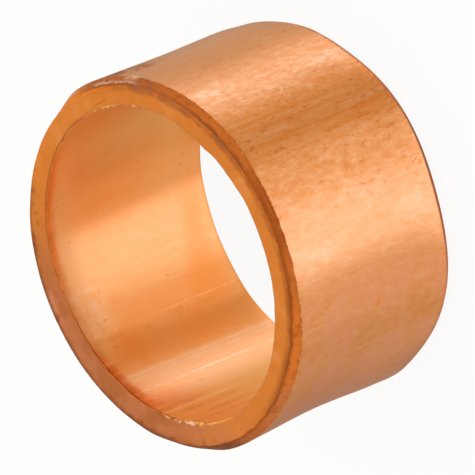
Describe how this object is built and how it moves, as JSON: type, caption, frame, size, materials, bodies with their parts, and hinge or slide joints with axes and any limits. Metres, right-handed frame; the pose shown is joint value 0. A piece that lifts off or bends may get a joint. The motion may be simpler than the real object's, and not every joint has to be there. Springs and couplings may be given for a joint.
{
  "type": "compression olive",
  "caption": "Short soft copper ring with a plain bore, flat ends, bevelled outer edges and a slightly waisted outside, squeezed on to a tube to seal a compression joint.",
  "frame": {"origin": "centre of the lower end face, on the bore axis", "axes": "+Z along the bore axis, from the lower end face to the upper one; X and Y are any two square directions, since the ring is round"},
  "size_m": [0.0118, 0.0118, 0.0066],
  "materials": {
    "copper": "drawn bright copper, satin, with faint lines along the axis, small pits and brown tarnish at the bevels"
  },
  "bodies": {
    "root": {"olive": "copper"}
  },
  "joints": []
}
